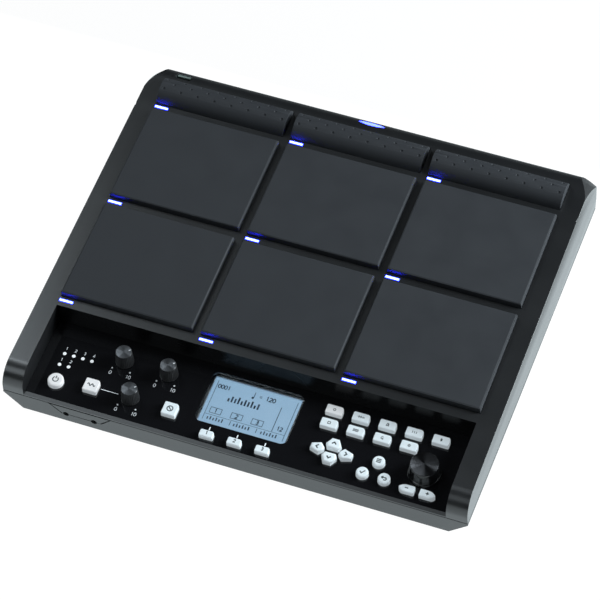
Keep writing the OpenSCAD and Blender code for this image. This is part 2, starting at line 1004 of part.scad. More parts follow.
module pad_sensors() {
    color(brass)
        on_deck() {
            for (p = PADS)
                post(pad_at(p), sensor_r, tray_top - tray_t - sensor_t, tray_top - tray_t);
            for (p = RIDGES)
                post(ridge_at(p), ridge_sensor*ridge_half, tray_top - tray_t - sensor_t, tray_top - tray_t);
        }
}

// Rear light: a lens shape square to the rounded rear edge, grown by g
module rear_light_box(g) {
    r = (pow(rear_light_w/2, 2) + pow(rear_light_d/2, 2))/rear_light_d;
    half = rear_light_blunt*asin(rear_light_w/2/r);
    back = r - rear_light_d/2;
    translate([rear_light_x, rear_c[0], rear_c[1]])
        rotate([deck_tilt - rear_light_angle, 0, 0])
            translate([0, 0, rear_r - rear_light_in])
                linear_extrude(rear_light_in + 2)
                    polygon(concat(
                        arc([0, -back], r + g, 90 - half, 90 + half, edge_steps),
                        arc([0, back], r + g, 270 - half, 270 + half, edge_steps)
                    ));
}

module rear_light() {
    color(light_blue)
        intersection() {
            rear_light_box(0);
            along_x(body_w)
                case_side(-light_proud);
        }
}

// Pocket of the memory stick socket, grown by g for its walls
module stick_pocket(g) {
    on_deck()
        block(
            [-slot_x, slot_y],
            [stick_shell[0] + 2*(snug + g), stick_shell[1] + 2*(snug + g)],
            stick_foot - g, g > 0 ? 0 : tall
        );
}

module stick_socket() {
    on_deck()
        translate([-slot_x, slot_y, 0]) {
            difference() {
                block([0, 0], [stick_shell[0], stick_shell[1]], stick_foot, stick_top);
                block(
                    [0, 0],
                    [stick_shell[0] - 2*shell_t, stick_shell[1] - 2*shell_t],
                    stick_foot + shell_t, tall
                );
            }
            block([0, tongue_y], tongue, stick_foot, stick_top - tongue_sink);
        }
}

// Sockets

module front_sockets() {
    color(part_black)
        mini_places()
            difference() {
                union() {
                    translate([0, 0, mini_sink])
                        cylinder(r = mini_r + mini_wall, h = wall);
                    translate([-mini_body[0]/2, -mini_body[2]/2, wall])
                        cube([mini_body[0], mini_body[2], mini_body[1]]);
                }
                translate([0, 0, -eps])
                    cylinder(r = mini_r, h = wall + mini_body[1] + 2*eps);
            }
}

function main_y(t) = rear_g - wall - snug - main_d*(1 - t);

module main_board() {
    color(board_green)
        translate([-main_w/2, main_y(0), main_top - main_t])
            cube([main_w, main_d, main_t]);
    color(part_black)
        for (c = chips)
            translate([c[0] - c[2]/2, main_y(0) + c[1] - c[2]/2, main_top - eps])
                cube([c[2], c[2], chip_h]);
}

module socket_body(x, body) {
    translate([x - body[0]/2, rear_g - wall - snug - body[1], main_top])
        cube([body[0], body[1], jack_z + body[2]/2 - main_top]);
}

module plug_socket(x) {
    difference() {
        union() {
            socket_body(x, jack_body);
            translate([x, rear_g - wall - nose_root, jack_z])
                rotate([-90, 0, 0])
                    cylinder(r = jack_nose_r, h = wall + nose_root);
        }
        translate([x, rear_g + eps, jack_z])
            rotate([90, 0, 0])
                cylinder(r = jack_r, h = jack_body[1] - jack_floor);
    }
}

module power_socket() {
    difference() {
        union() {
            socket_body(power_x, power_body);
            translate([power_x, rear_g - wall - nose_root, jack_z])
                rotate([-90, 0, 0])
                    cylinder(r = power_r, h = wall + nose_root);
        }
        translate([power_x, rear_g + eps, jack_z])
            rotate([90, 0, 0])
                cylinder(r = power_r - power_wall, h = power_depth);
    }
    translate([power_x, rear_g - power_depth - nose_root, jack_z])
        rotate([-90, 0, 0])
            cylinder(r = power_pin_r, h = power_depth - power_pin_in);
}

module rear_sockets() {
    color(part_black) {
        for (x = jack_xs)
            plug_socket(x);
        power_socket();
    }
}

module usb_sockets() {
    color(steel) {
        difference() {
            union() {
                socket_body(usb_x, usb_body);
                translate([usb_x - usb_mouth[0]/2, rear_g - wall - nose_root, jack_z - usb_mouth[1]/2])
                    cube([usb_mouth[0], wall + nose_root, usb_mouth[1]]);
            }
            translate([
                usb_x - usb_mouth[0]/2 + shell_t,
                rear_g - usb_depth,
                jack_z - usb_mouth[1]/2 + shell_t
            ])
                cube([usb_mouth[0] - 2*shell_t, usb_depth + wall, usb_mouth[1] - 2*shell_t]);
        }
        stick_socket();
    }
}

// Fixings

module stand_inserts() {
    color(brass)
        insert_places()
            difference() {
                cylinder(r = stand_r + insert_wall, h = insert_l - eps);
                translate([0, 0, -eps])
                    cylinder(r = stand_r, h = insert_l - insert_floor);
            }
}

module rubber_feet() {
    color(rubber_black)
        foot_places()
            cylinder(r = foot_r, h = foot_h + foot_sink);
}

// A screw standing on its head, its head's upper face at z 0
module screw(r, head_r, head_t, l) {
    translate([0, 0, -head_t])
        cylinder(r = head_r, h = head_t);
    translate([0, 0, -head_t])
        cylinder(r = r, h = head_t + l);
}

module screws() {
    color(steel) {
        boss_places()
            translate([0, 0, -boss_land])
                screw(boss_screw_r - 1.5*snug, boss_well_r - gap, boss_head_t, boss_land + boss_bite);
        on_deck() {
            for (s = [-1, 1])
                for (y = post_ys)
                    translate([s*post_x, y, tray_top - tray_t])
                        screw(board_screw_r - snug/2, 2*board_screw_r, small_head_t, tray_t + tray_bite);
            for (b = board_posts)
                translate([spot(b)[0], spot(b)[1], board_top - board_t])
                    screw(board_screw_r - snug/2, 2*board_screw_r, small_head_t, board_t + board_bite);
        }
    }
}

// Keys and turning controls

module key(k) {
    color(key_white)
        at_key(k) {
            translate([0, 0, key_foot])
                linear_extrude(panel_z + key_rise - key_foot)
                    key_shape(k, 0);
            key_lugs(k);
        }
}

// Scalloped outline of a level knob
function flutes(r) = [
    for (i = [0:2*knob_flutes - 1])
        (r + knob_land - (knob_flute + knob_land)*(i%2))*[cos(180*i/knob_flutes), sin(180*i/knob_flutes)]
];

module level_knob(k) {
    base = knob_dia/2;
    top = base - knob_taper;
    color(knob_grey)
        on_deck()
            translate([spot(k[1])[0], spot(k[1])[1], panel_z]) {
                intersection() {
                    translate([0, 0, turn_gap])
                        cylinder(r1 = base, r2 = top, h = knob_h - turn_gap);
                    linear_extrude(knob_h)
                        polygon(flutes(base));
                }
                translate([0, 0, board_top - panel_z + shaft_floor])
                    cylinder(r = shaft_r, h = panel_z - board_top);
            }
}

module dial() {
    base = dial_dia/2;
    color(panel_black)
        on_deck()
            translate([spot(dial_at)[0], spot(dial_at)[1], panel_z]) {
                rotate_extrude()
                    polygon(concat(
                        [[0, turn_gap], [base, turn_gap]],
                        [for (d = dial_skirt) [d[0]*base, d[1]]],
                        [
                            [dial_shoulder[0]*base, dial_h - dial_shoulder[1]],
                            [dial_top*base, dial_h],
                            [0, dial_h]
                        ]
                    ));
                translate([0, 0, board_top - panel_z + shaft_floor])
                    cylinder(r = shaft_r, h = panel_z - board_top);
            }
}

top_cover();
bottom_case();
control_panel();
display_window();
display_frame();
lcd_panel();
indicator_lamps();
key_board();
key_switches();
control_bases();
pad_lights();
rear_light();
pad_foams();
pad_tray();
pad_sensors();
front_jack_plate();
front_sockets();
main_board();
rear_sockets();
usb_sockets();
stand_inserts();
rubber_feet();
screws();
for (p = PADS)
    flat_pad(p);
for (p = RIDGES)
    ridge_pad(p);
for (k = KEYS)
    key(k);
for (k = KNOBS)
    level_knob(k);
dial();
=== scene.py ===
import json
import math

import bmesh
import bpy
from mathutils import Matrix, Vector

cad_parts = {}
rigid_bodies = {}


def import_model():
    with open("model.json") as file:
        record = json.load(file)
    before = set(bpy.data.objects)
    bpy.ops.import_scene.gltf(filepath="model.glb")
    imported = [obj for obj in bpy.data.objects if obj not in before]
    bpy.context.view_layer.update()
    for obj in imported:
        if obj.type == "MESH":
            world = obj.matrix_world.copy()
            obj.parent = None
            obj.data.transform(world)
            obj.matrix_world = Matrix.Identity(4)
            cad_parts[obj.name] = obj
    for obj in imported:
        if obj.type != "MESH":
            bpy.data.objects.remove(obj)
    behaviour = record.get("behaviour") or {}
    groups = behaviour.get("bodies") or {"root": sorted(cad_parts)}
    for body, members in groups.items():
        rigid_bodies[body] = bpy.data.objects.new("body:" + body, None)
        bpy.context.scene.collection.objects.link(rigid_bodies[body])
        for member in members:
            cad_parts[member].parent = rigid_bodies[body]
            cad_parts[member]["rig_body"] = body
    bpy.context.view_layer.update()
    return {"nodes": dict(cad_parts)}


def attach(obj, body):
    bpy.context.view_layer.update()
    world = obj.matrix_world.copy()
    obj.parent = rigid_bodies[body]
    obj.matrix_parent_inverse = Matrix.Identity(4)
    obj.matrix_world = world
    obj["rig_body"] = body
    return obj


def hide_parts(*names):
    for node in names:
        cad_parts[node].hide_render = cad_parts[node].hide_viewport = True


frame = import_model()


# Top cover: one ABS moulding, spark-eroded to a fine satin grain, dark grey.
# It holds the pads in nine openings, sinks to the control pocket and screws
# down on the bottom case along the parting line.

MM = 0.001
DECK_AT = (0, -85.8816 * MM, 50.5 * MM)
DECK_TILT = math.radians(5)
DECK = Matrix.Translation(DECK_AT) @ Matrix.Rotation(DECK_TILT, 4, "X")
UNDECK = DECK.inverted()
WELD = 0.002 * MM
FLAT = math.radians(0.6)


def set_out(name, data):
    """A new object, linked into the scene."""
    thing = bpy.data.objects.new(name, data)
    bpy.context.scene.collection.objects.link(thing)
    return thing


def mesh_piece(bm, name):
    """What the mesh code has built, as an object."""
    mesh = bpy.data.meshes.new(name)
    bm.to_mesh(mesh)
    bm.free()
    return set_out(name, mesh)


def join_faces(mesh):
    """The tessellated node as a clean mesh: shared corners, one face to each flat."""
    bm = bmesh.new()
    bm.from_mesh(mesh)
    bmesh.ops.remove_doubles(bm, verts=bm.verts, dist=WELD)
    bmesh.ops.dissolve_limit(bm, angle_limit=FLAT, verts=bm.verts, edges=bm.edges)
    return bm


def smooth(piece, sharp):
    """Smooth shading, broken at edges over sharp degrees."""
    piece.data.shade_smooth()
    piece.data.set_sharp_from_angle(angle=math.radians(sharp))


def round_edges(piece, radius, steps, clamp=True):
    """A radius in mm on edges that carry a weight; clamp holds it back where edges lie close."""
    bevel = piece.modifiers.new("Edge radius", "BEVEL")
    bevel.limit_method = "WEIGHT"
    bevel.width = radius * MM
    bevel.segments = steps
    bevel.use_clamp_overlap = clamp
    bevel.harden_normals = True


def moulded(node, radius, weight=None, steps=3, sharp=28, ease=None, shortest=0):
    """A copy of a CAD node with its moulded edge radius, standing for the node.

    weight(middle in deck mm) gives the share of the radius that an edge takes;
    ease(corner in deck mm) gives how far a corner is let down. Edges under shortest
    in mm stay sharp, and without it the radius gives way where edges are close."""
    source = frame["nodes"][node]
    bm = join_faces(source.data)
    for corner in bm.verts:
        drop = ease(UNDECK @ corner.co / MM) if ease else 0
        if drop:
            corner.co -= DECK.to_3x3() @ Vector((0, 0, drop * MM))
    layer = bm.edges.layers.float.new("bevel_weight_edge")
    for edge in bm.edges:
        if len(edge.link_faces) != 2 or edge.calc_face_angle(0) < math.radians(sharp):
            continue
        if edge.calc_length() < shortest * MM:
            continue
        middle = UNDECK @ ((edge.verts[0].co + edge.verts[1].co) / 2)
        edge[layer] = weight(middle / MM) if weight else 1
    piece = mesh_piece(bm, node + ".moulded")
    round_edges(piece, radius, steps, clamp=not shortest)
    smooth(piece, sharp)
    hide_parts(node)
    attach(piece, source["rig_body"])
    return piece


def new_material(name):
    """An empty finish, with its nodes and links."""
    material = bpy.data.materials.new(name)
    material.use_nodes = True
    return material, material.node_tree.nodes, material.node_tree.links


def grain(nodes, links, shader, scale, strength, detail=2):
    """A fine moulded grain as bump, scale in grains to the metre."""
    place = nodes.new("ShaderNodeTexCoord")
    noise = nodes.new("ShaderNodeTexNoise")
    noise.inputs["Scale"].default_value = scale
    noise.inputs["Detail"].default_value = detail
    bump = nodes.new("ShaderNodeBump")
    bump.inputs["Strength"].default_value = strength
    bump.inputs["Distance"].default_value = 0.05 * MM
    links.new(place.outputs["Object"], noise.inputs["Vector"])
    links.new(noise.outputs["Fac"], bump.inputs["Height"])
    links.new(bump.outputs["Normal"], shader.inputs["Normal"])
    return place


CLOUD_LOW, CLOUD_HIGH = 0.3, 0.7


def two_tone(nodes, links, cloud, socket, low, high):
    """A colour that drifts from low to high with a cloud of noise."""
    ramp = nodes.new("ShaderNodeValToRGB")
    ramp.color_ramp.elements[0].position = CLOUD_LOW
    ramp.color_ramp.elements[0].color = (*low, 1)
    ramp.color_ramp.elements[1].position = CLOUD_HIGH
    ramp.color_ramp.elements[1].color = (*high, 1)
    links.new(cloud.outputs["Fac"], ramp.inputs["Fac"])
    links.new(ramp.outputs["Color"], socket)


def cloudy(nodes, links, place, shader, low, high, rough_low, rough_high, scale):
    """Colour and roughness that drift a little over the surface, as handling leaves them."""
    cloud = nodes.new("ShaderNodeTexNoise")
    cloud.inputs["Scale"].default_value = scale
    cloud.inputs["Detail"].default_value = 4
    two_tone(nodes, links, cloud, shader.inputs["Base Color"], low, high)
    spread = nodes.new("ShaderNodeMapRange")
    spread.inputs["From Min"].default_value = CLOUD_LOW
    spread.inputs["From Max"].default_value = CLOUD_HIGH
    spread.inputs["To Min"].default_value = rough_low
    spread.inputs["To Max"].default_value = rough_high
    links.new(place.outputs["Object"], cloud.inputs["Vector"])
    links.new(cloud.outputs["Fac"], spread.inputs["Value"])
    links.new(spread.outputs["Result"], shader.inputs["Roughness"])


def moulded_plastic(name, low, high, rough_low, rough_high,
                    grains=2600, depth=0.25, gloss=0.5, lacquer=0.0):
    """Moulded plastic; lacquer is the share of a satin clear coat over it."""
    material, nodes, links = new_material(name)
    shader = nodes["Principled BSDF"]
    shader.inputs["Specular IOR Level"].default_value = gloss
    shader.inputs["Coat Weight"].default_value = lacquer
    shader.inputs["Coat Roughness"].default_value = 0.26
    place = grain(nodes, links, shader, grains, depth)
    cloudy(nodes, links, place, shader, low, high, rough_low, rough_high, 28)
    return material


cover_plastic = moulded_plastic(
    "satin_cover", (0.0062, 0.0066, 0.0074), (0.0080, 0.0084, 0.0092), 0.38, 0.44, gloss=0.36, lacquer=1.0)
# The pocket's rear wall takes half the cover's colour: painted shade for the recess.
pocket_shade_plastic = moulded_plastic(
    "pocket_painted_shade", (0.0030, 0.0031, 0.0034), (0.0042, 0.0043, 0.0047), 0.24, 0.30, gloss=0.1)
# Limits between the cover's edges, in deck mm.
SIDE_X = 176
CORNER_X, CORNER_Y = 170, 226
LIP_BACK_Y, LIP_HIGH_Z = -60, -16
LIP_TOP_Y, LIP_FOOT_Z = -74, -21.7
RIM_Z, POCKET_BACK_Y = -1, -9
SUNK_Z, SUNK_FRONT_Y = -3, -8


def cover_edge(p):
    """The share of the radius: full on the outer edges, less at the lip, the pocket and the openings."""
    at_corner = abs(p.x) > CORNER_X and p.y > CORNER_Y
    if abs(p.x) > SIDE_X or at_corner:
        return 1.0
    if p.z < LIP_HIGH_Z and p.y < LIP_BACK_Y:
        if p.y > LIP_TOP_Y:
            return 0.12
        return 0.2 if p.z > LIP_FOOT_Z else 0.35
    if p.z > RIM_Z and POCKET_BACK_Y < p.y < 0:
        return 0.55
    if p.z < SUNK_Z:
        return 0.12 if p.y > SUNK_FRONT_Y else 0.2
    return 0.3


LIP_DROP = 1.5
LIP_EDGE_Y, LIP_EDGE_Z, LIP_HALF = -75.8, -19.7, 167


def lip_ease(p):
    """The lip in front of the pocket falls away to the front."""
    on_edge = p.y < LIP_EDGE_Y and abs(p.z - LIP_EDGE_Z) < 0.1
    return LIP_DROP if on_edge and abs(p.x) < LIP_HALF else 0


WALL_HALF, WALL_LOW, WALL_HIGH = 168, -21, -1.5


def on_rear_wall(p):
    """The pocket's rear wall, in a smoother plastic whose darker colour is painted shade for the pocket."""
    return abs(p.x) < WALL_HALF and POCKET_BACK_Y < p.y < 0 and WALL_LOW < p.z < WALL_HIGH


cover = moulded("top_cover", 2.0, cover_edge, steps=4, ease=lip_ease)
cover.data.materials.append(cover_plastic)
cover.data.materials.append(pocket_shade_plastic)
for face in cover.data.polygons:
    if on_rear_wall(UNDECK @ face.center / MM):
        face.material_index = 1


# Bottom case: a second moulding in a lighter grey, with slanted lower sides,
# and the small jack plate that is let into its front edge at the left, whose rim
# takes the dark pocket plastic as a painted shadow line along the joint.

base_plastic = moulded_plastic(
    "satin_base", (0.011, 0.0115, 0.012), (0.014, 0.0145, 0.015), 0.36, 0.42, gloss=0.3, lacquer=0.9)
base = moulded("bottom_case", 0.6, steps=2)
base.data.materials.append(base_plastic)
jack_plate = moulded("front_jack_plate", 0.5, steps=2, shortest=4)
jack_plate.data.materials.append(base_plastic)
jack_plate.data.materials.append(pocket_shade_plastic)
# The rim's bevel faces take the dark pocket plastic: a painted shadow line in the joint.
jack_plate.modifiers["Edge radius"].material = 1


# Control panel: a flat acrylic sheet, polished black, dropped into the pocket
# with openings for the keys, the knobs, the lamps and the display.

def drift(material, socket, scale, low, high, detail=2, start=0, end=1):
    """Lets a shader value drift from low to high with noise, scale in patches to the metre."""
    nodes = material.node_tree.nodes
    links = material.node_tree.links
    place = nodes.new("ShaderNodeTexCoord")
    noise = nodes.new("ShaderNodeTexNoise")
    noise.inputs["Scale"].default_value = scale
    noise.inputs["Detail"].default_value = detail
    spread = nodes.new("ShaderNodeMapRange")
    spread.inputs["From Min"].default_value = start
    spread.inputs["From Max"].default_value = end
    spread.inputs["To Min"].default_value = low
    spread.inputs["To Max"].default_value = high
    links.new(place.outputs["Object"], noise.inputs["Vector"])
    links.new(noise.outputs["Fac"], spread.inputs["Value"])
    links.new(spread.outputs["Result"], nodes["Principled BSDF"].inputs[socket])


def gloss_black(name, colour, roughness):
    """Polished black with the faint haze that a used panel carries."""
    material, nodes, links = new_material(name)
    nodes["Principled BSDF"].inputs["Base Color"].default_value = (*colour, 1)
    drift(material, "Roughness", 60, roughness, roughness * 1.8, detail=6, start=0.35, end=0.75)
    return material


panel_black = gloss_black("polished_panel", (0.006, 0.006, 0.007), 0.05)
panel = moulded("control_panel", 0.2, steps=2)
panel.data.materials.append(panel_black)

PANEL_Z = -20.5
POCKET_HALF = 166.3
POCKET_MID = -39.3


def spot(side, x, y):
    """A place on the panel in deck mm: side it is measured from, x from there, y from the middle."""
    return Vector((side * POCKET_HALF + x, POCKET_MID + y, PANEL_Z))


SHARPEST_MITRE = 0.35


def ribbon(bm, points, width, z0, z1, closed=False):
    """A flat printed stroke of even width along a line of points."""
    points = [Vector(p) for p in points]
    count = len(points)
    sides = []
    for i, p in enumerate(points):
        before = points[i - 1] if i or closed else None
        after = points[(i + 1) % count] if i < count - 1 or closed else None
        into = (p - before).normalized() if before is not None else (after - p).normalized()
        away = (after - p).normalized() if after is not None else into
        turn = (into + away).normalized() if (into + away).length > 1e-6 else into
        normal = Vector((-turn.y, turn.x))
        reach = width / 2 / max(SHARPEST_MITRE, normal.dot(Vector((-into.y, into.x))))
        sides.append((p + normal * reach, p - normal * reach))
    rings = []
    for left, right in sides:
        corners = ((left, z0), (right, z0), (right, z1), (left, z1))
        rings.append([bm.verts.new((q.x, q.y, z)) for q, z in corners])
    last = count if closed else count - 1
    for i in range(last):
        a, b = rings[i], rings[(i + 1) % count]
        for j in range(4):
            bm.faces.new((a[j], a[(j + 1) % 4], b[(j + 1) % 4], b[j]))
    if not closed:
        bm.faces.new(rings[0][::-1])
        bm.faces.new(rings[-1])


def disc(bm, at, radius, z0, z1, steps=24):
    """A flat printed dot."""
    low = [bm.verts.new((at[0] + radius * math.cos(a), at[1] + radius * math.sin(a), z0))
           for a in (math.tau * i / steps for i in range(steps))]
    high = [bm.verts.new((v.co.x, v.co.y, z1)) for v in low]
    bm.faces.new(low[::-1])
    bm.faces.new(high)
    for i in range(steps):
        j = (i + 1) % steps
        bm.faces.new((low[i], low[j], high[j], high[i]))


def bow(at, radius, start, end, steps):
    """Points along a round stroke, degrees anticlockwise from the right."""
    turns = [math.radians(start + (end - start) * i / steps) for i in range(steps + 1)]
    return [(at[0] + radius * math.cos(a), at[1] + radius * math.sin(a)) for a in turns]


def printed(name, draw, at, turn, ink, body):
    """A print on a flat of the deck or panel: draw fills a mesh in mm round the place at."""
    bm = bmesh.new()
    draw(bm)
    bmesh.ops.recalc_face_normals(bm, faces=bm.faces)
    bmesh.ops.scale(bm, vec=(MM, MM, MM), verts=bm.verts)
    piece = mesh_piece(bm, name)
    turned = Matrix.Rotation(math.radians(turn), 4, "Z")
    piece.matrix_world = DECK @ Matrix.Translation(Vector(at) * MM) @ turned
    piece.data.materials.append(ink)
    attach(piece, body)


def print_ink(name, low, high):
    """Screen-printed ink, a little uneven in cover."""
    material, nodes, links = new_material(name)
    shader = nodes["Principled BSDF"]
    place = grain(nodes, links, shader, 4000, 0.1)
    cloudy(nodes, links, place, shader, low, high, 0.45, 0.55, 900)
    return material


white_ink = print_ink("panel_ink", (0.84, 0.85, 0.86), (0.90, 0.91, 0.92))

DIGITS = {
    "0": [bow((0, 0), 0.5, 0, 360, 16)],
    "1": [[(-0.22, 0.55), (0.08, 0.8), (0.08, -0.8)]],
    "2": [bow((0, 0.36), 0.44, 160, -30, 8) + [(-0.46, -0.8), (0.5, -0.8)]],
    "3": [bow((0, 0.4), 0.4, 150, -90, 8) + bow((0, -0.38), 0.42, 90, -150, 8)],
    "4": [[(0.2, -0.8), (0.2, 0.8), (-0.5, -0.3), (0.52, -0.3)]],
}
FIGURE_TALL, FIGURE_STEP = 1.6, 1.25


def digits(bm, text, at, height, weight, z0, z1):
    """Plain figures, drawn as strokes."""
    size = height / FIGURE_TALL
    advance = FIGURE_STEP * size
    left = at[0] - advance * (len(text) - 1) / 2
    for i, figure in enumerate(text):
        for line in DIGITS[figure]:
            stretch = FIGURE_TALL if figure == "0" else 1
            stroke = [(left + i * advance + x * size, at[1] + y * size * stretch) for x, y in line]
            ribbon(bm, stroke, weight, z0, z1)


INK_LOW, INK_HIGH = -0.01, 0.03
LAMP_X, LAMP_STEP = 15.5, 7.4
LAMP_FIGURES = ((4, 11.7), (2, 1.4))
# Side of the pocket that x is taken from, x, and y from the middle, in mm.
LEVEL_KNOBS = {
    "level_knob_1": (-1, 61.6, 14.5),
    "level_knob_2": (-1, 77.75, -14.9),
    "level_knob_3": (-1, 97.55, 14.1),
}
KNOB_END_X, KNOB_DOT_Y, KNOB_FIGURE_Y = 7.2, -8.1, -12.2
EFFECT_LINE_Y, EFFECT_LINE_X = -14.2, (53.6, 67.6)
TICK_X, TICK_Y = (-22.9, -0.95, 21.0), (-19.6, -22.4)


def draw_panel_marks(bm):
    """Figures over the lamps, end marks of the knobs, the effect line and the soft key ticks."""
    for count, y in LAMP_FIGURES:
        for i in range(count):
            x = LAMP_X + LAMP_STEP * i - POCKET_HALF
            digits(bm, str(i + 1), (x, y), 2.3, 0.38, INK_LOW, INK_HIGH)
    for side, x, y in LEVEL_KNOBS.values():
        for figure, dx in (("0", -KNOB_END_X), ("10", KNOB_END_X)):
            disc(bm, (x + dx - POCKET_HALF, y + KNOB_DOT_Y), 0.65, INK_LOW, INK_HIGH)
            digits(bm, figure, (x + dx - POCKET_HALF, y + KNOB_FIGURE_Y), 2.8, 0.34, INK_LOW, INK_HIGH)
    ribbon(bm, [(x - POCKET_HALF, EFFECT_LINE_Y) for x in EFFECT_LINE_X], 0.5, INK_LOW, INK_HIGH)
    for x in TICK_X:
        ribbon(bm, [(x, y) for y in TICK_Y], 0.8, INK_LOW, INK_HIGH)


printed("panel_marks", draw_panel_marks, (0, POCKET_MID, PANEL_Z), 0, white_ink, "case")


# Flat pads and ridge pads: blocks of moulded rubber over foam, with a bevelled
# rim. They stand in the deck's openings and give a little when struck.

def pad_rubber_finish(name, low, high):
    """Matt natural rubber: a very fine grain, and a slight bloom."""
    material, nodes, links = new_material(name)
    shader = nodes["Principled BSDF"]
    shader.inputs["Specular IOR Level"].default_value = 0.35
    place = grain(nodes, links, shader, 1800, 0.35, 5)
    cloudy(nodes, links, place, shader, low, high, 0.62, 0.74, 45)
    return material


pad_rubber = pad_rubber_finish("pad_rubber", (0.0190, 0.0204, 0.0238), (0.0238, 0.0255, 0.0290))
for number in range(1, 7):
    pad = moulded(f"pad_{number}", 0.9, lambda p: 1.0 if p.z > 0 else 0.2, sharp=20)
    pad.data.materials.append(pad_rubber)
for number in range(1, 4):
    pad = moulded(f"ridge_pad_{number}", 0.5, lambda p: 1.0 if p.z > -1 else 0.2, steps=2)
    pad.data.materials.append(pad_rubber)


# Pad lights and rear light: clear lenses with blue diodes below, pressed into
# slots in the deck, one in front of each pad and one on the rear edge.

def lit_lens(name, glow, strength):
    """A clear lens, filled with the diode's light."""
    material, nodes, links = new_material(name)
    shader = nodes["Principled BSDF"]
    shader.inputs["Base Color"].default_value = (0.5, 0.6, 0.9, 1)
    shader.inputs["Roughness"].default_value = 0.3
    shader.inputs["Emission Color"].default_value = (*glow, 1)
    drift(material, "Emission Strength", 300, strength * 0.8, strength * 1.2)
    return material


lens_rim = lit_lens("blue_lens", (0.005, 0.015, 1.0), 6)
lens_core = lit_lens("blue_diode", (0.015, 0.022, 1.0), 90)
rear_core = lit_lens("rear_diode", (0.14, 0.18, 1.0), 3)
REAR_TILT = -28.5
FACING_OUT = 0.995
# Node, core, tilt of its top in degrees, and rim round the core in mm.
LENSES = (("pad_lights", lens_core, 0, 0.5), ("rear_light", rear_core, REAR_TILT, 1.2))
for node, core, tilt, border in LENSES:
    lens = moulded(node, 0.25, steps=2)
    lens.data.materials.append(lens_rim)
    lens.data.materials.append(core)
    bm = bmesh.new()
    bm.from_mesh(lens.data)
    out = (DECK.to_3x3() @ Matrix.Rotation(math.radians(tilt), 3, "X")) @ Vector((0, 0, 1))
    tops = [face for face in bm.faces if face.normal.dot(out) > FACING_OUT]
    bmesh.ops.inset_individual(bm, faces=tops, thickness=border * MM)
    for face in tops:
        face.material_index = 1
    bm.to_mesh(lens.data)
    bm.free()


# Indicator lamps: six small round lenses of milk-white plastic, set in holes of
# the panel and faintly lit.

lamp_white = print_ink("lamp_lens", (0.80, 0.81, 0.82), (0.88, 0.89, 0.90))
lamp_shader = lamp_white.node_tree.nodes["Principled BSDF"]
lamp_shader.inputs["Emission Color"].default_value = (0.95, 0.98, 1.0, 1)
lamp_shader.inputs["Emission Strength"].default_value = 0.3
lamps = moulded("indicator_lamps", 0.2, steps=2)
lamps.data.materials.append(lamp_white)


# Keys: white silicone caps with printed signs, each standing in its own opening
# over a switch. Their edges are softly rounded.

def silicone(name, low, high):
    """White silicone rubber, with a faint painted glow in its emission that brightens the caps as extra
    light would.
    """
    material, nodes, links = new_material(name)
    shader = nodes["Principled BSDF"]
    shader.inputs["Subsurface Weight"].default_value = 0.15
    shader.inputs["Subsurface Radius"].default_value = (0.6, 0.7, 0.8)
    shader.inputs["Subsurface Scale"].default_value = 0.5 * MM
    # The emission is painted light: the caps glow though nothing lights them.
    shader.inputs["Emission Color"].default_value = (0.85, 0.94, 1.0, 1)
    shader.inputs["Emission Strength"].default_value = 0.27
    place = grain(nodes, links, shader, 3500, 0.12)
    cloudy(nodes, links, place, shader, low, high, 0.45, 0.55, 120)
    return material


cool_key = silicone("cool_silicone", (0.54, 0.59, 0.61), (0.60, 0.65, 0.66))
warm_key = silicone("warm_silicone", (0.62, 0.58, 0.56), (0.68, 0.63, 0.61))
key_ink = print_ink("key_ink", (0.020, 0.032, 0.036), (0.034, 0.048, 0.052))
KEY_H = 4
KEY_TOP = PANEL_Z + KEY_H
KEY_RIM_Z = PANEL_Z + 3

